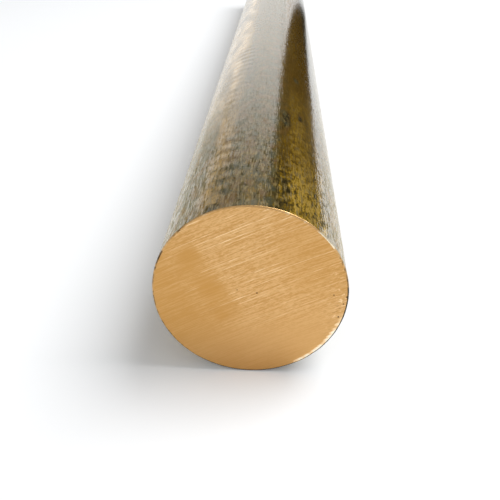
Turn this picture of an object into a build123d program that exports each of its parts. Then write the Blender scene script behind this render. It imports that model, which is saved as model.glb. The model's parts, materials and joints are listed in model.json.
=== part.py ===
from build123d import *
import os

os.makedirs("parts", exist_ok=True)

# All sizes are in millimetres. The bar lies along Y, and its lowest line is on Z = 0.
bar_diameter = 25.4   # one inch drawn stock
bar_length = 304.8    # twelve inches, a common cut length
edge_break = 0.15     # the slight bevel left round each sawn end

bar_radius = bar_diameter / 2
bar_axis = Axis((0, 0, bar_radius), (0, 1, 0))
middle_section = Plane(origin=bar_axis.position, x_dir=(1, 0, 0), z_dir=bar_axis.direction)


# Drawn round bar: one circular section, run the same distance to both sawn ends.
with BuildPart() as round_bar:
    with BuildSketch(middle_section):
        Circle(bar_radius)
    extrude(amount=bar_length / 2, both=True)
    sawn_end_rims = round_bar.edges().filter_by(GeomType.CIRCLE)
    chamfer(sawn_end_rims, edge_break)

round_bar.part.label = "round_bar"
export_step(round_bar.part, "parts/round_bar.step")
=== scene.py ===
import bpy
import bmesh
import json
from math import atan2, cos, degrees, hypot, pi, radians, sin
from mathutils import Matrix, Vector, noise


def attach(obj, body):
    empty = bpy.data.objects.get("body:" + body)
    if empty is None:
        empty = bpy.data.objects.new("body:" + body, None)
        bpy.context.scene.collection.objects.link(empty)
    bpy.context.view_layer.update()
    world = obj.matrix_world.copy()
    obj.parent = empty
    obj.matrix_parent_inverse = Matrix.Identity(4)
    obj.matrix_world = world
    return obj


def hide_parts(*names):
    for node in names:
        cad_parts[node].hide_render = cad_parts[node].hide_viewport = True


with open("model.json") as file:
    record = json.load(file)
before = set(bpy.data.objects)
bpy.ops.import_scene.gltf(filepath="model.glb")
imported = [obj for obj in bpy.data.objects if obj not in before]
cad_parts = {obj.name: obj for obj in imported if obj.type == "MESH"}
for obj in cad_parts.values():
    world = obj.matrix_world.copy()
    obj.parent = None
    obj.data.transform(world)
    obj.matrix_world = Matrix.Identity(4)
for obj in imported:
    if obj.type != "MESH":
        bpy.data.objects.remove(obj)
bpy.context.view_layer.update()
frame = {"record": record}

mm = 0.001    # the dictionaries give lengths in mm and angles in degrees, where a note doesn't say otherwise
mountOf = {mount["name"]: mount for mount in frame["record"]["mounts"]}
outside = mountOf["outer_surface"]
barRadius = outside["dims"]["r_mm"] * mm
axisHeight = outside["pos_m"][2]
frontY = mountOf["front_sawn_face"]["pos_m"][1]
rearY = mountOf["rear_sawn_face"]["pos_m"][1]
barLength = rearY - frontY
edgeBreak = (barLength - outside["dims"]["length_mm"] * mm) / 2
barDiameter = 2 * barRadius
onSkin, onFace, onRim = range(3)    # the order of the bar's three finishes
print("frame read: bar", round(barDiameter / mm, 2), "by", round(barLength / mm, 2), "mm")


# Small helpers

def smoothStep(low, high, value):    # 0 at low, 1 at high and an easy curve between them
    t = min(max((value - low) / (high - low), 0.0), 1.0)
    return t * t * (3 - 2 * t)


def within(full, gone, distance):    # 1 out to the first distance, 0 past the second
    return 1 - smoothStep(full, gone, distance)


def growth(steps, value):    # the sum of several rises, each an amount and where it starts and ends
    return sum(rise * smoothStep(start, end, value) for rise, start, end in steps)


def clamp(value, low, high):
    return min(max(value, low), high)


def uneven(x, y, z):    # smooth noise round 0
    return noise.noise(Vector((x, y, z)))


def apart(angle, middle, whole=360):    # from the middle to an angle, the short way round
    return (angle - middle + whole / 2) % whole - whole / 2


def spokeTo(point):    # straight out from the bar's axis
    return Vector((point.x, 0, point.z - axisHeight))


def roundFromTop(spoke):    # degrees round the bar, 0 on top and positive towards +X
    return degrees(atan2(spoke.x, spoke.z))


def ringAt(y):
    return Matrix.Translation((0, y, axisHeight)) @ Matrix.Rotation(radians(90), 4, "X")


def grownVerts(grown):    # the new points of an extrusion
    return [part for part in grown["geom"] if isinstance(part, bmesh.types.BMVert)]


def placed(name, shape):    # makes a shape an object of the scene
    mesh = bpy.data.meshes.new(name)
    shape.to_mesh(mesh)
    shape.free()
    piece = bpy.data.objects.new(name, mesh)
    bpy.context.scene.collection.objects.link(piece)
    return piece


# The drawn skin: a tube of rings, with the shallow relief of drawing and straightening

skinShape = {
    "segments": 132,            # facets round the bar
    "ringGap": 0.61,            # between the rings along it
    "waveDepth": 0.035,         # slow waves that the drawing die left
    "waveLength": 30,
    "waveFineness": 1.1,        # the higher it is, the more waves lie round the bar
    "waveTop": 0.7,             # about the noise's highest value, so that the waves only press the skin in
    "rollPitch": 3.7,           # between the skewed marks of the straightening rolls
    "rollDepth": 0.030,
    "rollSkew": 5,              # pitches that a mark would run along the bar in a turn
    "rollTracks": 3,            # the marks lie in so many tracks, evenly round the bar
    "rollPlace": -26,           # round from the top, of one of the tracks
    "rollWidth": (4.8, 18),     # to each side, full and gone
    "rollPatches": (-0.15, 0.35),    # values of a noise between which the marks come in
    "patchFineness": 1.7,       # how much finer that noise is than the waves
    "reliefFades": 2,           # length at each end in which the relief dies out
}


def drawnSkin():
    skin = bmesh.new()
    bmesh.ops.create_circle(skin, cap_ends=False, segments=skinShape["segments"], radius=barRadius,
                            matrix=ringAt(frontY + edgeBreak))
    run = barLength - 2 * edgeBreak
    grown = bmesh.ops.extrude_edge_only(skin, edges=skin.edges[:])
    bmesh.ops.translate(skin, verts=grownVerts(grown), vec=(0, run, 0))
    longEdges = [edge for edge in skin.edges if edge.calc_length() > run / 2]
    bmesh.ops.subdivide_edges(skin, edges=longEdges, cuts=round(run / (skinShape["ringGap"] * mm)),
                              use_grid_fill=True)
    return skin


def wearTheSkin(body):
    fineness, waveLength = skinShape["waveFineness"], skinShape["waveLength"] * mm
    trackGap = 360 / skinShape["rollTracks"]
    patchSeed = Vector((5, 2, 1))
    rimWidth = 1.5 * edgeBreak    # the ends and their rims are left alone
    for vert in body.verts:
        y = vert.co.y
        if not frontY + rimWidth < y < rearY - rimWidth:
            continue
        spoke = spokeTo(vert.co).normalized()
        around = roundFromTop(spoke)
        place = Vector((spoke.x * fineness, spoke.z * fineness, y / waveLength))
        wave = (noise.noise(place) - skinShape["waveTop"]) * skinShape["waveDepth"]
        patchy = noise.noise(place * skinShape["patchFineness"] + patchSeed)
        patchy = smoothStep(*skinShape["rollPatches"], patchy)
        track = within(*skinShape["rollWidth"], abs(apart(around, skinShape["rollPlace"], trackGap)))
        climb = y / mm / skinShape["rollPitch"] + skinShape["rollSkew"] * around / 360
        roll = (sin(2 * pi * climb) - 1) * patchy * track * skinShape["rollDepth"]
        fade = smoothStep(0, skinShape["reliefFades"] * mm, min(y - frontY, rearY - y))
        vert.co += spoke * (wave + roll) * mm * fade


# The skin's tarnish, painted on its points: 0 is bare brass and 1 is dark oxide

# degrees round from the top, half width, tarnish laid on near the front and farther back
skinBands = {
    "bareLeft": (-25, 7, -0.28, -0.27),
    "greyLeft": (-40, 12, 0.18, -0.27),
    "farLeft": (-62, 12, 0.05, -0.25),
    "darkMargin": (15.5, 5.5, 0.06, 0.02),
    "goldRight": (35, 13, -0.44, -0.40),
    "oliveRight": (42, 4, 0.10, 0.05),
    "paleRight": (62, 14, -0.06, 0.0),
    "darkFoot": (150, 30, 0.15, 0.15),
    "bareFoot": (-130, 18, -0.3, -0.3),
}

# degrees round from the top, mm from the front face, half sizes in the same units, tarnish laid on
skinSpots = {
    "rimBlot": (-22.5, 0.9, 4.5, 1.2, 0.75),
    "rimGold": (-23, 3.1, 4, 0.7, -0.25),
    "lowerRimGold": (-28, 5.5, 2, 2.5, -0.2),
    "sideBlot": (-21, 8.8, 3, 1.0, 0.5),
    "upperSideBlot": (-17, 5.2, 2.6, 1.0, 0.5),
    "paleSideBlot": (-14, 13, 4, 1.0, 0.3),
    "farBlot": (-20.5, 25, 2, 1.2, 0.5),
    "nearSpot": (19.5, 8.8, 2, 0.6, 0.6),
    "lowerNearSpot": (22, 6.7, 1.2, 1.0, 0.6),
    "largeSpot": (20, 35.2, 2.7, 4.2, 1.8),
    "rightSpot": (32, 39, 1.8, 1.5, 1.4),
    "farSpot": (31, 63, 2, 2.0, 1.1),
    "edgeSpot": (42, 24, 2, 2.5, 0.3),
}

# clouds: strength, fineness round the bar, mm along it, seed
skinPaint = {
    "tarnish": 0.55,
    "calmTarnish": 0.06,             # added where the mottling has calmed down
    "mostTarnish": 1.3,
    "broadClouds": (0.12, 2.1, 40, 3),
    "smallClouds": (0.10, 6, 6, 17),
    "bandWander": (2, 2, 9, 0),      # degrees
    "bandEdge": (0.75, 1.25),        # of a band's half width, full and gone
    "spotEdge": (0.6, 1.25),
    "back": (15, 60),                # mm from the front, where the bands turn to what they are farther back
    "farBack": (60, 140),            # and where the brown strip narrows
    "calm": (6, 38),                 # where the mottling of the upper side calms down
    "sides": (58, 80),               # degrees from the top, past which most of it stays
    "sidesKeep": 0.6,
}

# rises: amount, and where it starts and ends, mm from the front face or degrees round from the top
copperBand = {
    "place": -25,
    "halfWidth": (8, 20),            # full and gone
    "backShift": 12,                 # it lies this much lower farther back
    "leastTarnish": 0.28,            # it is never barer than this
    "blush": 0.40,                   # how copper-coloured it is at the front, and more so farther back
    "blushRises": ((0.42, 15, 55), (0.3, 60, 140)),
    "broadClouds": (1, 4, 9, 11),
    "broadFrom": (-0.5, 0.2),        # where the broad clouds let it through, none and all
    "smallClouds": (1, 9, 4, 23),
    "smallFrom": (0.1, 0.4),         # where the small ones take this part of it away
    "smallLoss": 0.5,
    "rightSide": 0.05,               # a trace of it on the other side
    "rightFrom": (46, 54),
    "rightTo": (80, 95),
}
# the brown strip lies where the dark card is mirrored and grows farther back: partly tarnish, partly painted
# dark reflection
brownReflectionStrip = {
    "place": 32,
    "halfWidth": (15, 20),
    "backShift": 4,                  # far back, its upper edge lies twice this lower
    "rises": ((0.44, 6, 20), (0.4, 40, 66)),
    "ends": (200, 260),              # mm from the front face
}
clearFilm = {                        # the thin glassy film, 0 none and 1 full
    "amount": 0.72,
    "rises": ((0.18, 20, 75),),
    "stripLoss": ((0.2, 20, 60),),
    "marginLoss": 0.15,              # along the upper edge of the strip
    "marginPlace": 16,
    "marginWidth": (3, 6),
    "leftLoss": 0.25,                # low on the left near the front
    "leftPlace": -37,
    "leftWidth": (9, 15),
    "leftEnds": (24, 90),
    "sideLoss": ((0.17, 40, 55),),   # down both sides, and less of it on the right
    "rightGain": ((0.05, 44, 52),),
    "spotLoss": 0.3,
}
mottling = {                         # how strongly the skin's fine patterns show
    "amount": 0.9,
    "calm": 0.6,                     # taken off where they calm down
    "strip": 1.15,                   # added on the brown strip, less what these two take off
    "stripCalm": 0.6,
    "stripFar": 0.4,
    "sideLosses": ((0.3, 44, 52), (0.35, -24, -34)),
    "least": 0.15,
}


def clouds(spoke, along, strength, fineness, length, seed):
    return strength * uneven(spoke.x * fineness, spoke.z * fineness, along / length + seed)


def bandTarnish(around, back):
    laid = 0
    full, gone = skinPaint["bandEdge"]
    for middle, halfWidth, near, far in skinBands.values():
        inside = within(halfWidth * full, halfWidth * gone, abs(apart(around, middle)))
        laid += (near + (far - near) * back) * inside
    return laid


def spotTarnish(around, along):
    laid = 0
    for middle, start, halfWidth, halfLength, mark in skinSpots.values():
        reach = hypot(apart(around, middle) / halfWidth, (along - start) / halfLength)
        laid += mark * within(*skinPaint["spotEdge"], reach)
    return laid


def copperBlush(spoke, around, along, leftward):
    blush = leftward * (copperBand["blush"] + growth(copperBand["blushRises"], along))
    broad = clouds(spoke, along, *copperBand["broadClouds"])
    small = clouds(spoke, along, *copperBand["smallClouds"])
    blush *= smoothStep(*copperBand["broadFrom"], broad)
    blush *= 1 - copperBand["smallLoss"] * smoothStep(*copperBand["smallFrom"], small)
    onRight = smoothStep(*copperBand["rightFrom"], around) * within(*copperBand["rightTo"], around)
    return max(blush, copperBand["rightSide"] * onRight)


def filmOver(around, along, strip, spots):
    film = clearFilm["amount"] + growth(clearFilm["rises"], along)
    film -= strip * growth(clearFilm["stripLoss"], along)
    onMargin = within(*clearFilm["marginWidth"], abs(around - clearFilm["marginPlace"]))
    film -= clearFilm["marginLoss"] * onMargin
    onLeft = within(*clearFilm["leftWidth"], abs(around - clearFilm["leftPlace"]))
    film -= clearFilm["leftLoss"] * onLeft * within(*clearFilm["leftEnds"], along)
    film -= growth(clearFilm["sideLoss"], abs(around)) - growth(clearFilm["rightGain"], around)
    return film - clearFilm["spotLoss"] * max(spots, 0)


def paintPatina(skin):
    patina = skin.verts.layers.float_color.new("patina")    # tarnish, brown strip with its painted dark reflection, clear film, copper blush
    speckled = skin.verts.layers.float.new("speckled")
    for vert in skin.verts:
        spoke = spokeTo(vert.co).normalized()
        along = (vert.co.y - frontY) / mm
        around = roundFromTop(spoke)
        back = smoothStep(*skinPaint["back"], along)
        farBack = smoothStep(*skinPaint["farBack"], along)
        onSides = smoothStep(*skinPaint["sides"], abs(around))
        calm = smoothStep(*skinPaint["calm"], along) * (1 - skinPaint["sidesKeep"] * onSides)

        leftShift = copperBand["backShift"] * back
        leftward = within(*copperBand["halfWidth"], abs(around - copperBand["place"] + leftShift))
        stripShift = brownReflectionStrip["backShift"] * farBack
        full, gone = brownReflectionStrip["halfWidth"]
        strip = within(full - stripShift, gone - stripShift, abs(around - brownReflectionStrip["place"] - stripShift))

        tarnish = skinPaint["tarnish"] + skinPaint["calmTarnish"] * calm
        tarnish += clouds(spoke, along, *skinPaint["broadClouds"])
        tarnish += clouds(spoke, along, *skinPaint["smallClouds"])
        tarnish += bandTarnish(around + clouds(spoke, along, *skinPaint["bandWander"]), back)
        spots = spotTarnish(around, along)
        tarnish = max(tarnish, copperBand["leastTarnish"] * leftward) + spots

        # brown along the strip, partly tarnish and partly painted dark reflection
        brownAndReflection = strip * growth(brownReflectionStrip["rises"], along) * within(*brownReflectionStrip["ends"], along)
        brownAndReflection *= 1 - clamp(spots, 0, 1)
        film = filmOver(around, along, strip, spots)
        blush = copperBlush(spoke, around, along, leftward)
        vert[patina] = (clamp(tarnish, 0, skinPaint["mostTarnish"]), brownAndReflection, film, blush)

        onStrip = mottling["strip"] - mottling["stripCalm"] * calm - mottling["stripFar"] * farBack
        shown = mottling["amount"] + onStrip * strip - mottling["calm"] * calm
        shown -= growth(mottling["sideLosses"], around)
        vert[speckled] = max(shown, mottling["least"])


# The sawn ends: a disc cut in strips, so that every saw mark is raised and scratched in the mesh

sawnEnd = {
    "strips": 300,              # across the face, in line with the saw marks
    "steps": 44,                # along each strip
    "frontAngle": 25.7,         # how the marks rise towards +X on each face
    "rearAngle": -38.0,
    "bow": 260,                 # the marks are very flat arcs of this radius
    "inset": 1.35,              # edge breaks from the flat of the face to the bar's outline
    "snap": 1e-4,               # a cut this near to a point goes through it
}
sawMarks = {
    "lines": ((0.93, 0.11, 1.0), (0.37, 0.09, 0.85)),    # apart, half width, strength
    "depth": 0.016,
    "ripple": 0.010,            # slow unevenness between the marks
    "rippleRates": (1.9, 0.09),    # steps of the noise per mm across and along the marks, as all rates here
    "drift": 0.22,              # how far a mark strays to the side
    "driftRates": (0.3, 0.03),
    "spread": 0.12,             # how unevenly they lie, as a part of the gap
    "spreadRate": 0.02,
    "scratch": 1.3,             # half widths from a raised mark to the scratch beside it
    "longBreaks": 0.13,         # rates along the marks at which they fade in and out
    "longFrom": (-0.35, 0.35),
    "shortBreaks": 0.9,
    "shortFrom": (-0.3, 0.3),
    "shortLoss": 0.55,
    "tug": 0.35,                # how far they are pulled about where the face is torn
    "tugRates": (0.8, 0.9),
    "softSide": (0, -8),        # down from the middle, where the blade comes to bite less
    "softLean": 0.3,            # how much flatter than the marks that line lies, as a slope
    "softer": 0.75,             # the part of the marks that is lost there
    "oliveShadeLoss": 0.6,            # and the part lost in the browned and shaded places
}
shadeAndBrowningMap = {                    # places in bar radii from the middle of the face, for its browning with painted shade and dark reflection
    "corner": (-0.56, 0.57),    # the wedge's straight edge starts here and runs down to the right
    "lean": 32.42,              # the edge's, from upright
    "raggedness": 0.03,
    "clouds": 4,                # to a bar radius
    "cloudiness": 0.8,
    "wedge": 0.95,
    "wedgeEdge": (-0.05, 0.04),
    "wedgeFades": (0.15, 0.5),
    "wedgeStarts": (-0.15, 0.1),
    "wedgeEnds": (0.82, 1.05),
    "leftSide": 0.95,
    "leftFrom": (0.0, 0.5),
    "leftEases": (0.7, 1.2),
    "easing": 0.6,              # how much the wedge and the left side lose where they fade
    "low": 0.55,                # a rim of brown with painted shade at the foot of the face
    "lowPlace": -175,
    "lowWidth": (15, 60),
    "lowFrom": (0.6, 1.0),
    "upperRight": 0.6,
    "upperRightPlace": 56,
    "upperRightWidth": (18, 48),
    "upperRightFrom": (0.2, 0.7),
}
tornPatch = {                   # where the blade tore the face, out by the edge on the right
    "place": 92,
    "halfWidth": (5, 38),
    "from": (0.72, 0.98),       # bar radii from the middle, where it starts and is full
}
burrLip = {                     # the lip that the saw threw up where it left the bar
    "height": 0.05,
    "starts": (98, 116),
    "ends": (144, 156),
    "breaks": 5,                # degrees
    "breaksFrom": (-0.5, 0.0),
    "from": (0.952, 0.966),     # bar radii
}


def faceShadeAndBrowning(step):    # how far the face has browned and is painted darker: a wedge of painted dark reflection, and painted shade on the left side, the foot and the upper right
    around = roundFromTop(step)
    reach = step.length / barRadius
    cornerX, cornerZ = shadeAndBrowningMap["corner"]
    x, z = step.x / barRadius - cornerX, step.z / barRadius - cornerZ
    cloud = uneven(x * shadeAndBrowningMap["clouds"], z * shadeAndBrowningMap["clouds"], 2)
    lean = radians(shadeAndBrowningMap["lean"])
    inside = -cos(lean) * x - sin(lean) * z + shadeAndBrowningMap["raggedness"] * cloud
    down = sin(lean) * x - cos(lean) * z
    wedge = smoothStep(*shadeAndBrowningMap["wedgeEdge"], inside)
    wedge *= 1 - shadeAndBrowningMap["easing"] * smoothStep(*shadeAndBrowningMap["wedgeFades"], inside)
    wedge *= smoothStep(*shadeAndBrowningMap["wedgeStarts"], down) * within(*shadeAndBrowningMap["wedgeEnds"], down)
    wedge *= shadeAndBrowningMap["wedge"] + shadeAndBrowningMap["cloudiness"] * cloud
    leftSide = shadeAndBrowningMap["leftSide"] * smoothStep(*shadeAndBrowningMap["leftFrom"], inside)
    leftSide *= 1 - shadeAndBrowningMap["easing"] * smoothStep(*shadeAndBrowningMap["leftEases"], down)
    low = shadeAndBrowningMap["low"] * smoothStep(*shadeAndBrowningMap["lowFrom"], reach)
    low *= within(*shadeAndBrowningMap["lowWidth"], abs(apart(around, shadeAndBrowningMap["lowPlace"])))
    upperRight = shadeAndBrowningMap["upperRight"] * smoothStep(*shadeAndBrowningMap["upperRightFrom"], reach)
    upperRight *= within(*shadeAndBrowningMap["upperRightWidth"], abs(around - shadeAndBrowningMap["upperRightPlace"]))
    return max(wedge, leftSide, low, upperRight)


def ragged(step):
    away = abs(roundFromTop(step) - tornPatch["place"])
    return smoothStep(*tornPatch["from"], step.length / barRadius) * within(*tornPatch["halfWidth"], away)


def burr(step):
    around = roundFromTop(step)
    held = smoothStep(*burrLip["starts"], around) * within(*burrLip["ends"], around)
    held *= smoothStep(*burrLip["breaksFrom"], uneven(around / burrLip["breaks"], 3, 1))
    return held * smoothStep(*burrLip["from"], step.length / barRadius)


def sawLine(s, t, pitch, halfWidth, seed):    # +1 on a raised mark, -1 in the scratch beside it
    acrossRate, alongRate = sawMarks["driftRates"]
    place = s + sawMarks["drift"] * uneven(s * acrossRate, t * alongRate, seed)
    number = round(place / pitch)
    # the factors 3.7, 5.3 and 2.1 only give each mark its own place in the noise
    stray = uneven(number * 3.7, t * sawMarks["spreadRate"], seed)
    off = place - number * pitch + sawMarks["spread"] * pitch * stray
    held = smoothStep(*sawMarks["longFrom"], uneven(number * 5.3, t * sawMarks["longBreaks"], seed + 5))
    short = smoothStep(*sawMarks["shortFrom"], uneven(number * 2.1, t * sawMarks["shortBreaks"], seed + 8))
    held *= 1 - sawMarks["shortLoss"] + sawMarks["shortLoss"] * short
    raised = within(0, halfWidth, abs(off))
    scratch = within(0, halfWidth, abs(off + sawMarks["scratch"] * halfWidth))
    return held * (raised - scratch)


def slicedDisc(centre, along, across):
    disc = bmesh.new()
    radius = barRadius - sawnEnd["inset"] * edgeBreak
    bmesh.ops.create_circle(disc, cap_ends=True, segments=skinShape["segments"], radius=radius,
                            matrix=ringAt(centre.y))
    for direction, count in ((across, sawnEnd["strips"]), (along, sawnEnd["steps"])):
        for step in range(1, count):
            cutPoint = centre + direction * radius * (2 * step / count - 1)
            bmesh.ops.bisect_plane(disc, geom=disc.verts[:] + disc.edges[:] + disc.faces[:],
                                   dist=sawnEnd["snap"] * mm, plane_co=cutPoint, plane_no=direction)
    return disc


def cutSawMarks(disc, centre, along, across, sawAngle, outward):
    sawPlace = disc.verts.layers.float_vector.new("sawPlace")    # mm across the marks, mm along them, angle
    patina = disc.verts.layers.float_color.new("patina")    # browning with painted shade and dark reflection, bite, marks round 0.5, torn
    tugAcross, tugAlong = sawMarks["tugRates"]
    rippleAcross, rippleAlong = sawMarks["rippleRates"]
    for vert in disc.verts:
        step = vert.co - centre
        bow = step.dot(along) ** 2 / (2 * sawnEnd["bow"] * mm)
        s, t = (step.dot(across) + bow) / mm, step.dot(along) / mm
        shadedBrown, tear = faceShadeAndBrowning(step), ragged(step)
        bite = 1 - sawMarks["softer"] * smoothStep(*sawMarks["softSide"], s + sawMarks["softLean"] * t)
        tug = tear * sawMarks["tug"] * uneven(s * tugAcross, t * tugAlong, sawAngle + 2)
        lines = 0
        for pitch, halfWidth, strength in sawMarks["lines"]:
            lines += strength * sawLine(s + tug, t, pitch, halfWidth, pitch * 9 + sawAngle)
        lines = bite * (1 - sawMarks["oliveShadeLoss"] * shadedBrown) * clamp(lines, -1, 1)
        lip = burr(step)
        lines = max(lines, 2 * lip)    # past 1 it gets the burr's painted highlight
        ripple = uneven(s * rippleAcross, t * rippleAlong, sawAngle) * bite
        height = min(lines, 1) * sawMarks["depth"] + ripple * sawMarks["ripple"]
        height += lip * burrLip["height"]
        vert.co.y += height * mm * outward
        vert[sawPlace] = (s, t, sawAngle)
        vert[patina] = (shadedBrown, bite, 0.5 + 0.5 * lines, tear)


# The rim between a sawn face and the skin: broken and unevenly worn, with painted highlights in places and
# dirt and painted shade in others

rimShape = {
    "inset": 0.42,              # edge breaks from the rim's sharp corner to the bar's outline
    "drop": 0.34,               # and from the face back to the corner
    "wander": 0.25,             # unevenness of the drop
    "wear": 0.03,               # how far the corner wanders in and out
    "slowFineness": 2.5,        # the higher these are, the more waves the wear has round the bar
    "quickFineness": 11,
    "quickShare": 0.6,
}


def breakTheRim(disc, sawAngle, outward):
    rim = [edge for edge in disc.edges if edge.is_boundary]
    for vert in grownVerts(bmesh.ops.extrude_edge_only(disc, edges=rim)):
        spoke = spokeTo(vert.co)
        angle = atan2(spoke.x, spoke.z)
        slow, quick = rimShape["slowFineness"], rimShape["quickFineness"]
        wander = uneven(slow * cos(angle), slow * sin(angle), sawAngle)
        jitter = uneven(quick * cos(angle), quick * sin(angle), sawAngle + 9)
        worn = (wander + rimShape["quickShare"] * jitter) * rimShape["wear"] * mm
        reach = barRadius - edgeBreak * rimShape["inset"] + worn
        vert.co += spoke.normalized() * (reach - spoke.length)
        vert.co.y -= outward * edgeBreak * (rimShape["drop"] + rimShape["wander"] * wander)


def sawnFace(faceY, sawAngle):
    centre = Vector((0, faceY, axisHeight))
    outward = 1 if faceY > 0 else -1
    along = Vector((cos(radians(sawAngle)), 0, sin(radians(sawAngle))))
    across = Vector((-along.z, 0, along.x))
    disc = slicedDisc(centre, along, across)
    cutSawMarks(disc, centre, along, across, sawAngle, outward)
    breakTheRim(disc, sawAngle, outward)
    mesh = bpy.data.meshes.new("sawnFace")
    disc.to_mesh(mesh)
    disc.free()
    return mesh


# degrees round from the top, half width, strength
# painted highlights where the rim glints at the upper right, and painted shade darkening it on the right, at
# the foot and on the left
rimGlints = ((20, 3, 0.35), (32.5, 1.8, 0.4), (49, 7, 1.0))
rimShadows = ((114, 32, 1.0), (75, 12, 0.4), (180, 32, 1.0), (-68, 8, 0.7), (-84, 14, 0.3),
              (-120, 24, 0.3))
rimWearAndLight = {
    "dirtAndLight": 0.46,               # 0 is a painted highlight and 1 is black, dirt with painted shade
    "chips": 0.2,
    "chipFineness": 5,
    "shadows": 0.55,
    "glints": 0.65,
    "arcEdge": (0.6, 1.3),      # of an arc's half width, full and gone
}


def strongest(arcs, around):
    full, gone = rimWearAndLight["arcEdge"]
    return max(strength * within(full * half, gone * half, abs(apart(around, middle)))
               for middle, half, strength in arcs)


# the rim's dirt and chips, with painted shade and painted highlights laid on
def rimDirtAndLight(around, seed):
    turn, fineness = radians(around), rimWearAndLight["chipFineness"]
    chips = uneven(fineness * cos(turn), fineness * sin(turn), seed)
    dirtAndLight = rimWearAndLight["dirtAndLight"] + rimWearAndLight["chips"] * chips
    dirtAndLight += rimWearAndLight["shadows"] * strongest(rimShadows, around)
    dirtAndLight -= rimWearAndLight["glints"] * strongest(rimGlints, around)
    return clamp(dirtAndLight, 0, 1)


def paintRimDirtAndLight(body):
    dirtAndLight = body.verts.layers.float.new("rimDirtAndLight")
    for face in body.faces:
        if face.material_index == onRim:
            for vert in face.verts:
                vert[dirtAndLight] = rimDirtAndLight(roundFromTop(spokeTo(vert.co)), 9 if vert.co.y > 0 else 4)


# The whole bar

bakeSheet = {                   # where the skin's two halves and the sawn faces lie on the unit square
    "margin": 0.01,
    "skinLength": 0.98,
    "skinGirth": 0.33,
    "frontSkin": 0.01,
    "rearSkin": 0.355,
    "frontFace": 0.16,
    "rearFace": 0.47,
    "faceHeight": 0.845,
    "faceRadius": 0.14,
    "faceSpare": 1.06,          # the rim is laid out flat, so it reaches past the bar's radius
}


def skinOnSheet(co, front, middle):
    along = (co.y - frontY if front else co.y) / (barLength / 2)    # the bar's middle is at y = 0
    turn = atan2(co.x, co.z - axisHeight) / (2 * pi) + 0.5
    # a face at the seam under the bar keeps to its own side
    if turn < 0.25 and middle.x > 0:
        turn += 1
    if turn > 0.75 and middle.x < 0:
        turn -= 1
    foot = bakeSheet["frontSkin"] if front else bakeSheet["rearSkin"]
    return bakeSheet["margin"] + bakeSheet["skinLength"] * along, foot + bakeSheet["skinGirth"] * turn


def faceOnSheet(co, front):
    spoke = Vector((co.x, co.z - axisHeight))
    reach = spoke.length + abs(co.y - (frontY if front else rearY))
    spoke = spoke.normalized() * reach / (barRadius * bakeSheet["faceSpare"]) * bakeSheet["faceRadius"]
    middle = bakeSheet["frontFace"] if front else bakeSheet["rearFace"]
    return middle + spoke.x, bakeSheet["faceHeight"] + spoke.y


def bakeLayout(body):
    uv = body.loops.layers.uv.new("OFBake")
    for face in body.faces:
        middle = face.calc_center_median()
        front = middle.y < 0
        for loop in face.loops:
            if face.material_index == onSkin:
                loop[uv].uv = skinOnSheet(loop.vert.co, front, middle)
            else:
                loop[uv].uv = faceOnSheet(loop.vert.co, front)


def joinSawnFace(body, faceY, sawAngle):
    disc = sawnFace(faceY, sawAngle)
    skinFaces = set(body.faces)
    body.from_mesh(disc)
    bpy.data.meshes.remove(disc)
    flatRadius = barRadius - (sawnEnd["inset"] - 0.02) * edgeBreak    # just past the flat of the face
    for face in set(body.faces) - skinFaces:
        face.material_index = onRim if spokeTo(face.calc_center_median()).length > flatRadius else onFace
    openEdges = [edge for edge in body.edges
                 if edge.is_boundary and abs(edge.verts[0].co.y - faceY) < 2 * edgeBreak]
    for face in bmesh.ops.bridge_loops(body, edges=openEdges)["faces"]:
        face.material_index = onRim


def makeBar():
    body = drawnSkin()
    paintPatina(body)
    joinSawnFace(body, frontY, sawnEnd["frontAngle"])
    joinSawnFace(body, rearY, sawnEnd["rearAngle"])
    paintRimDirtAndLight(body)
    wearTheSkin(body)
    bmesh.ops.recalc_face_normals(body, faces=body.faces[:])
    for face in body.faces:
        face.smooth = True
    for edge in body.edges:
        edge.smooth = len({face.material_index for face in edge.link_faces}) == 1
    bakeLayout(body)
    return placed("round_bar_stock", body)


bar = makeBar()
triangles = sum(len(polygon.vertices) - 2 for polygon in bar.data.polygons)
print("bar meshed:", len(bar.data.polygons), "faces", triangles, "triangles")


# Helpers for the finishes

def connect(tree, node, inputs):    # sets each input, or links it where it is given a socket
    for name, value in inputs.items():
        if isinstance(value, bpy.types.NodeSocket):
            tree.links.new(value, node.inputs[name])
        else:
            node.inputs[name].default_value = value


def addNode(tree, kind, inputs=None, **settings):
    node = tree.nodes.new(kind)
    for name, value in settings.items():
        setattr(node, name, value)
    connect(tree, node, inputs or {})
    return node


def calc(tree, operation, first, second):
    return addNode(tree, "ShaderNodeMath", {0: first, 1: second}, operation=operation).outputs[0]


def times(tree, first, second):
    return calc(tree, "MULTIPLY", first, second)


def weighted(tree, *terms):
    total = None
    for value, weight in terms:
        part = times(tree, value, weight)
        total = part if total is None else calc(tree, "ADD", total, part)
    return total


def ramp(tree, value, low, high, toLow=0.0, toHigh=1.0):
    return addNode(tree, "ShaderNodeMapRange", {"Value": value, "From Min": low, "From Max": high,
                   "To Min": toLow, "To Max": toHigh}, interpolation_type="SMOOTHSTEP").outputs["Result"]


def blend(tree, factor, first, second):
    def fill(color):
        return (*color, 1) if isinstance(color, tuple) else color
    return addNode(tree, "ShaderNodeMix", {0: factor, 6: fill(first), 7: fill(second)},
                   data_type="RGBA").outputs[2]


def toneRamp(tree, value, stops):
    node = addNode(tree, "ShaderNodeValToRGB", {0: value})
    elements = node.color_ramp.elements
    for index, (position, color) in enumerate(stops):
        element = elements[index] if index < 2 else elements.new(position)
        element.position = position
        element.color = (*color, 1)
    return node.outputs["Color"]


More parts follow.
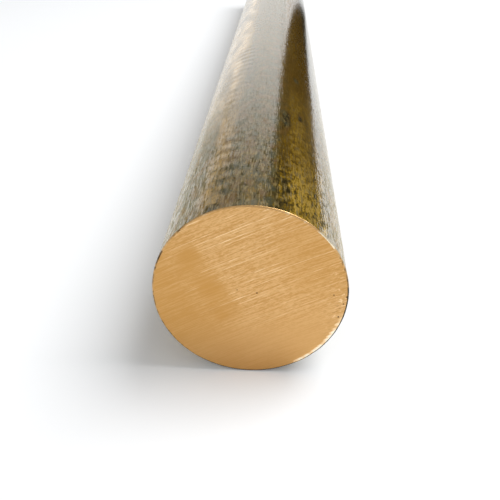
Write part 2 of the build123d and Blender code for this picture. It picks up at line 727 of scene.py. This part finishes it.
def grainOn(tree, place, scale, shift, detail, roughness):
    laid = addNode(tree, "ShaderNodeMapping", {"Vector": place, "Scale": scale, "Location": shift})
    return addNode(tree, "ShaderNodeTexNoise", {"Vector": laid.outputs[0], "Scale": 1.0, "Detail": detail,
                   "Roughness": roughness}).outputs["Fac"]


def skinGrain(tree, place, across, along, seed, detail, roughness):    # drawn out along the bar
    scale = (1 / (across * mm), 1 / (along * mm), 1 / (across * mm))
    return grainOn(tree, place, scale, (seed, 0, 0), detail, roughness)


def sawGrain(tree, place, across, along, seed, detail, roughness):    # drawn out along the saw marks
    return grainOn(tree, place, (1 / across, 1 / along, 1), (seed, seed * 2.3, 0), detail, roughness)


def paintedValues(tree):    # the four values of the patina painted on the points
    paint = addNode(tree, "ShaderNodeAttribute", attribute_name="patina")
    split = addNode(tree, "ShaderNodeSeparateColor", {0: paint.outputs["Color"]})
    return (*split.outputs, paint.outputs["Alpha"])


def bumped(tree, height, depth):
    return addNode(tree, "ShaderNodeBump",
                   {"Height": height, "Strength": 0.8, "Distance": depth * mm}).outputs[0]


def newFinish(name):
    finish = bpy.data.materials.new(name)
    finish.use_nodes = True
    return finish, finish.node_tree, finish.node_tree.nodes["Principled BSDF"]


# The finishes

skinLook = {
    "tones": ((0.0, (0.80, 0.54, 0.11)), (0.14, (0.60, 0.375, 0.028)), (0.34, (0.29, 0.165, 0.008)),
              (0.50, (0.20, 0.14, 0.028)), (0.66, (0.13, 0.092, 0.026)),
              (0.95, (0.040, 0.028, 0.010))),    # bare brass to dark oxide
    "brownAndReflection": (0.19, 0.092, 0.001),
    "blush": (0.77, 0.55, 0.41),
    "copper": (0.78, 0.48, 0.27),
    "fleck": (0.46, 0.35, 0.15),
    "slate": (0.13, 0.16, 0.12),
    "russet": (0.34, 0.18, 0.08),
    "edgeTint": (1.0, 0.88, 0.52),
    "grains": {                 # mm across and along, seed, detail, roughness
        "drawLines": (0.26, 9, 1, 1, 0.6),
        "streaks": (0.34, 6, 6, 2, 0.6),
        "grain": (0.25, 2.3, 5, 2, 0.7),
        "blotches": (0.9, 1.6, 3, 4, 0.7),
        "flecks": (0.23, 2.0, 8, 1, 0.5),
        "hue": (1.7, 3.0, 14, 2, 0.5),
        "specks": (0.40, 1.1, 2, 2, 0.6),
    },
    "ramps": {                  # where it starts and ends, and the values there if they aren't 0 and 1
        "flecks": (0.52, 0.63),
        "fleckBlotches": (0.62, 0.40, 0.35, 1),
        "specks": (0.52, 0.66),
        "speckBlotches": (0.35, 0.58, 0.3, 1),
        "oxidised": (0.3, 0.5),
        "notOnStrip": (1.0, 1.4, 1, 0),
        "slate": (0.50, 0.66, 0, 0.5),
        "russet": (0.50, 0.36, 0, 0.45),
        "fleckShown": (0, 1, 0, 0.9),
        "bare": (0.12, 0.7, 1.0, 0.15),
        "copper": (0.52, 0.40),
        "coat": (0.05, 0.95, 0.1, 1.0),
    },
    "mottle": (1.2, 1.0, 0.4, 0.30),    # weights of the blotches, grain, drawing lines and dark specks
    "mottleDrop": 0.03,
    "gloss": (-1.8, -3.2, 0.8, -0.5),   # of the streaks, grain, light flecks and dark specks
    "height": (0.6, 0.5, 0.25),         # of the drawing lines, grain and dark specks
    "bodyRoughness": 0.45,
    "polishedRoughness": 0.24,
    "filmRoughness": 0.09,
    "filmIndex": 1.95,
    "relief": 0.03,
}


def drawnSkinTone(tree, tarnish, brownAndReflection, pale, speckled, light, hue):
    ramps = skinLook["ramps"]
    bare = blend(tree, ramp(tree, hue, *ramps["copper"]), skinLook["blush"], skinLook["copper"])
    oxidised = times(tree, ramp(tree, tarnish, *ramps["oxidised"]),
                     ramp(tree, speckled, *ramps["notOnStrip"]))
    tone = toneRamp(tree, tarnish, skinLook["tones"])
    for factor, color in (
        (times(tree, oxidised, ramp(tree, hue, *ramps["slate"])), skinLook["slate"]),
        (times(tree, oxidised, ramp(tree, hue, *ramps["russet"])), skinLook["russet"]),
        (times(tree, light, ramp(tree, speckled, *ramps["fleckShown"])), skinLook["fleck"]),
        (brownAndReflection, skinLook["brownAndReflection"]),
        (pale, bare),
    ):
        tone = blend(tree, factor, tone, color)
    return tone


def drawnSkinFinish():
    finish, tree, shader = newFinish("tarnishedDrawnBrass")
    place = addNode(tree, "ShaderNodeTexCoord").outputs["Object"]
    tarnish, brownAndReflection, film, blush = paintedValues(tree)
    speckled = addNode(tree, "ShaderNodeAttribute", attribute_name="speckled").outputs["Fac"]
    drawLines, streaks, grain, blotches, flecks, hue, specks = (
        skinGrain(tree, place, *how) for how in skinLook["grains"].values())
    ramps = skinLook["ramps"]
    light = times(tree, ramp(tree, flecks, *ramps["flecks"]), ramp(tree, blotches, *ramps["fleckBlotches"]))
    dark = times(tree, ramp(tree, specks, *ramps["specks"]), ramp(tree, blotches, *ramps["speckBlotches"]))

    # the noises lie round 0.5, so half of their weights is taken off again
    mottle = weighted(tree, *zip((blotches, grain, drawLines, dark), skinLook["mottle"]))
    usual = 0.5 * sum(skinLook["mottle"][:3]) + skinLook["mottleDrop"]
    mottle = calc(tree, "SUBTRACT", mottle, usual)
    tarnish = calc(tree, "ADD", tarnish, times(tree, mottle, speckled))
    pale = times(tree, blush, ramp(tree, tarnish, *ramps["bare"]))
    tone = drawnSkinTone(tree, tarnish, brownAndReflection, pale, speckled, light, hue)

    gloss = weighted(tree, *zip((streaks, grain, light, dark), skinLook["gloss"]))
    gloss = calc(tree, "SUBTRACT", gloss, 0.5 * sum(skinLook["gloss"][:2]))
    gloss = calc(tree, "ADD", times(tree, gloss, speckled), film)
    height = weighted(tree, *zip((drawLines, grain, dark), skinLook["height"]))
    bump = bumped(tree, height, skinLook["relief"])
    connect(tree, shader, {
        "Base Color": tone,
        "Metallic": 1,
        "Specular Tint": (*skinLook["edgeTint"], 1),
        "Roughness": ramp(tree, pale, 0, 1, skinLook["bodyRoughness"], skinLook["polishedRoughness"]),
        "Coat Weight": ramp(tree, gloss, *ramps["coat"]),
        "Coat Roughness": skinLook["filmRoughness"],
        "Coat IOR": skinLook["filmIndex"],
        "Normal": bump,
        "Coat Normal": bump,
    })
    return finish


sawnLook = {
    "tan": (0.73, 0.445, 0.19),
    "deep": (0.57, 0.31, 0.100),
    "glint": (1.0, 0.73, 0.42),
    "shadow": (0.34, 0.17, 0.05),
    # the olive of the browned places, which also paints their shade and dark reflection
    "oliveShade": (0.575, 0.305, 0.088),
    # a painted highlight on the burr, where its edge catches the light
    "burrHighlight": (1.0, 0.91, 0.70),
    "pit": (0.10, 0.05, 0.02),
    "grains": {                 # mm across and along the marks, seed, detail, roughness
        "fine": (0.12, 5, 11, 2, 0.6),
        "crystals": (0.20, 0.55, 13, 2, 0.6),
        "tatters": (0.35, 0.8, 19, 3, 0.6),
    },
    "ramps": {                  # as the skin's
        "ridge": (0.55, 0.95),
        "tornRidge": (0.56, 0.72),
        "hollow": (0.45, 0.10),
        "tornHollow": (0.42, 0.34),
        "shade": (0.40, 0.60),
        "oliveShade": (0.35, 0.65, 1.0, 0.65),
        "burrHighlight": (1.05, 1.4),
        "rough": (0.3, 0.7, 0.33, 0.43),
    },
    "shade": (0.55, 0.45),      # weights of the fine grain and the crystals
    "shadowShown": 0.7,
    "glintShown": 0.85,
    "height": (0.5, 0.2, 0.3, -0.4, -0.8),    # of the fine grain, crystals, ridges, hollows and pits
    "relief": 0.03,
    "pits": ((0.9, 0.25, 0.14), (-1.65, 0.65, 0.09), (10.7, 0.4, 0.13), (11.5, -3.0, 0.16),
             (12.0, -0.9, 0.13), (12.4, 0.2, 0.22)),    # mm right of and above the middle, radius
    "pitFloor": 0.4,            # the part of its radius that is darkest
}


def pitsIn(tree, place):
    turn = radians(sawnEnd["frontAngle"])
    pitted = 0
    for x, z, radius in sawnLook["pits"]:
        centre = (z * cos(turn) - x * sin(turn), x * cos(turn) + z * sin(turn), sawnEnd["frontAngle"])
        away = addNode(tree, "ShaderNodeVectorMath", {0: place, 1: centre}, operation="DISTANCE")
        pit = ramp(tree, away.outputs["Value"], radius * sawnLook["pitFloor"], radius, 1, 0)
        pitted = calc(tree, "MAXIMUM", pit, pitted)
    return pitted


def sawnFinish():
    finish, tree, shader = newFinish("sawnBrass")
    place = addNode(tree, "ShaderNodeAttribute", attribute_name="sawPlace").outputs["Vector"]
    oliveShade, bite, lines, torn = paintedValues(tree)
    fine, crystals, tatters = (sawGrain(tree, place, *how) for how in sawnLook["grains"].values())
    ramps = sawnLook["ramps"]
    pitted = pitsIn(tree, place)
    ridge = calc(tree, "MAXIMUM", ramp(tree, lines, *ramps["ridge"]),
                 times(tree, torn, ramp(tree, tatters, *ramps["tornRidge"])))
    hollow = calc(tree, "MAXIMUM", ramp(tree, lines, *ramps["hollow"]),
                  times(tree, torn, ramp(tree, tatters, *ramps["tornHollow"])))

    # the shade lies round 0.5, and the less the blade bit, the nearer it stays to that
    shade = ramp(tree, weighted(tree, *zip((fine, crystals), sawnLook["shade"])), *ramps["shade"])
    shade = calc(tree, "ADD", times(tree, calc(tree, "SUBTRACT", shade, 0.5), bite), 0.5)
    color = blend(tree, shade, sawnLook["deep"], sawnLook["tan"])
    for factor, name in (
        # the browned places go olive, with painted shade and dark reflection
        (times(tree, oliveShade, ramp(tree, fine, *ramps["oliveShade"])), "oliveShade"),
        (times(tree, hollow, sawnLook["shadowShown"]), "shadow"),
        (times(tree, ridge, sawnLook["glintShown"]), "glint"),
        # the burr gets its painted highlight
        (ramp(tree, lines, *ramps["burrHighlight"]), "burrHighlight"),
        (pitted, "pit"),
    ):
        color = blend(tree, factor, color, sawnLook[name])
    height = weighted(tree, *zip((fine, crystals, ridge, hollow, pitted), sawnLook["height"]))
    connect(tree, shader, {
        "Base Color": color,
        "Metallic": 1,
        "Roughness": ramp(tree, crystals, *ramps["rough"]),
        "Normal": bumped(tree, height, sawnLook["relief"]),
    })
    return finish


rimLook = {
    "tones": ((0.05, (0.97, 0.86, 0.64)), (0.30, (0.72, 0.44, 0.19)), (0.58, (0.58, 0.35, 0.14)),
              (0.80, (0.14, 0.09, 0.045)), (1.0, (0.06, 0.045, 0.03))),    # painted highlight on the burr to dark dirt and painted shade
    "roughness": (0.22, 0.55),  # where it is bright and where it is dark
    "nicks": (0.5, 0.5, 9, 3, 0.6),    # mm across and along, seed, detail, roughness
    "nickDirt": 0.9,
}


def rimFinish():
    finish, tree, shader = newFinish("sawnRim")
    place = addNode(tree, "ShaderNodeTexCoord").outputs["Object"]
    # the rim's dirt, painted shade and painted highlights, painted on its points
    dirtAndLight = addNode(tree, "ShaderNodeAttribute", attribute_name="rimDirtAndLight").outputs["Fac"]
    nicks = skinGrain(tree, place, *rimLook["nicks"])
    dirtAndLight = weighted(tree, (dirtAndLight, 1.0), (nicks, rimLook["nickDirt"]))
    dirtAndLight = calc(tree, "SUBTRACT", dirtAndLight, 0.5 * rimLook["nickDirt"])
    connect(tree, shader, {
        "Base Color": toneRamp(tree, dirtAndLight, rimLook["tones"]),
        "Metallic": 1,
        "Roughness": ramp(tree, dirtAndLight, 0, 1, *rimLook["roughness"]),
    })
    return finish


for finish in (drawnSkinFinish(), sawnFinish(), rimFinish()):    # the order of onSkin, onFace and onRim
    bar.data.materials.append(finish)
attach(bar, "root")
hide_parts("round_bar")
print("bar finished:", ", ".join(finish.name for finish in bar.data.materials))


# Floor, sky, lamp and camera

floorLook = {
    "halfSize": 4,              # metres
    "color": (0.90, 0.915, 0.93),
    "lift": 0.08,               # glow that the camera sees near the bar
    "farLift": 0.55,            # and where the lamp doesn't reach
    "liftFrom": (0.35, 0.9),    # metres from the bar's middle
}


def seenRays(tree):    # what the camera sees, straight or in the metal
    rays = addNode(tree, "ShaderNodeLightPath")
    seen = calc(tree, "MAXIMUM", rays.outputs["Is Camera Ray"], rays.outputs["Is Glossy Ray"])
    return calc(tree, "MAXIMUM", seen, rays.outputs["Is Transmission Ray"])


def makeFloor():
    shape = bmesh.new()
    bmesh.ops.create_grid(shape, x_segments=1, y_segments=1, size=floorLook["halfSize"])
    floor = placed("floor", shape)
    finish, tree, shader = newFinish("paleFloor")
    place = addNode(tree, "ShaderNodeTexCoord").outputs["Object"]
    away = addNode(tree, "ShaderNodeVectorMath", {0: place}, operation="LENGTH").outputs["Value"]
    lift = ramp(tree, away, *floorLook["liftFrom"], floorLook["lift"], floorLook["farLift"])
    connect(tree, shader, {
        "Base Color": (*floorLook["color"], 1),
        "Roughness": 1,
        "Specular IOR Level": 0,
        "Emission Color": (1, 1, 1, 1),
        "Emission Strength": times(tree, lift, seenRays(tree)),
    })
    floor.data.materials.append(finish)


skyLook = {
    "overhead": 0.256,          # brightness above and behind the bar
    "front": 0.68,              # on the side that the front face looks to
    "frontFrom": (0.1, -0.6),   # the Y of a direction, where that starts and is full
    "backdrop": 1.08,           # straight behind the bar
    "backdropFrom": (26, 12),   # degrees from straight behind, where that starts and is full
    "horizonFrom": (12, 6),     # degrees above level, where the camera starts to see white, and is full
}


def makeWorld():
    world = bpy.data.worlds.new("studioWorld")
    bpy.context.scene.world = world
    world.use_nodes = True
    tree = world.node_tree
    tree.nodes.clear()
    way = addNode(tree, "ShaderNodeTexCoord").outputs["Generated"]
    axes = addNode(tree, "ShaderNodeSeparateXYZ", {0: way})
    fill = ramp(tree, axes.outputs["Y"], *skyLook["frontFrom"], skyLook["overhead"], skyLook["front"])
    wide, narrow = (cos(radians(angle)) for angle in skyLook["backdropFrom"])
    glow = ramp(tree, axes.outputs["Y"], wide, narrow, 0.0, skyLook["backdrop"] - skyLook["overhead"])
    high, low = (sin(radians(angle)) for angle in skyLook["horizonFrom"])
    horizon = times(tree, ramp(tree, axes.outputs["Z"], high, low), seenRays(tree))
    strength = calc(tree, "MAXIMUM", calc(tree, "ADD", fill, glow), horizon)
    back = addNode(tree, "ShaderNodeBackground", {"Color": (1, 1, 1, 1), "Strength": strength})
    addNode(tree, "ShaderNodeOutputWorld", {"Surface": back.outputs[0]})


darkFlag = {                    # a standing dark card, seen only as it is mirrored in the metal
    "behind": 12.0,             # bar diameters from the front face back to it
    "leftEdge": 1.0,            # bar diameters right of the bar's middle
    "width": 0.5,               # metres
    "height": 0.25,
    "lean": 0.15,               # its edge leans out by this part of its height
    "straightFrom": 4,          # bar diameters up, where it goes on upright
    "rows": 20,
    "color": (0.005, 0.004, 0.002),
}


def makeFlag():
    shape = bmesh.new()
    bmesh.ops.create_grid(shape, x_segments=1, y_segments=darkFlag["rows"], size=0.5)
    corner = (darkFlag["leftEdge"] * barDiameter, frontY + darkFlag["behind"] * barDiameter, 0)
    standing = Matrix.Translation(corner) @ Matrix.Rotation(radians(90), 4, "X")
    wide = Matrix.Scale(darkFlag["width"], 4, (1, 0, 0))
    high = Matrix.Scale(darkFlag["height"], 4, (0, 1, 0))
    bmesh.ops.transform(shape, verts=shape.verts[:],
                        matrix=standing @ wide @ high @ Matrix.Translation((0.5, 0.5, 0)))
    for vert in shape.verts:
        vert.co.x += darkFlag["lean"] * min(vert.co.z, darkFlag["straightFrom"] * barDiameter)
    flag = placed("darkFlag", shape)
    finish, tree, shader = newFinish("flagCloth")
    connect(tree, shader, {"Base Color": (*darkFlag["color"], 1), "Roughness": 1})
    flag.data.materials.append(finish)
    for rays in ("camera", "diffuse", "shadow", "transmission"):
        setattr(flag, "visible_" + rays, False)


softKey = {
    "from": (0.495, 0.182, 0.850),
    "distance": 0.9,            # metres, as is the size
    "size": 0.62,
    "power": 7.6,               # watts
}


def makeKey():
    lamp = bpy.data.lights.new("softKey", "AREA")
    lamp.shape = "SQUARE"
    lamp.size = softKey["size"]
    lamp.energy = softKey["power"]
    key = bpy.data.objects.new("softKey", lamp)
    bpy.context.scene.collection.objects.link(key)
    way = Vector(softKey["from"]).normalized()
    key.location = way * softKey["distance"] + Vector((0, frontY + barDiameter, 0))
    key.rotation_euler = way.to_track_quat("Z", "Y").to_euler()
    key.visible_camera = False


view = {
    "lens": 45.66,
    "sensor": 36,
    "place": (0.1297, -2.6811, 2.2948),    # bar diameters from the foot of the front face
    "turn": 2.761,
    "dip": 29.757,
    "nearest": 0.005,           # metres
}


def makeCamera():
    data = bpy.data.cameras.new("camera")
    data.lens = view["lens"]
    data.sensor_width = view["sensor"]
    data.clip_start = view["nearest"]
    camera = bpy.data.objects.new("camera", data)
    bpy.context.scene.collection.objects.link(camera)
    camera.location = Vector((0, frontY, 0)) + Vector(view["place"]) * barDiameter
    camera.rotation_euler = (radians(90 - view["dip"]), 0, radians(view["turn"]))
    bpy.context.scene.camera = camera


makeFloor()
makeWorld()
makeFlag()
makeKey()
makeCamera()
bpy.context.scene.view_settings.view_transform = "Standard"
print("studio set")
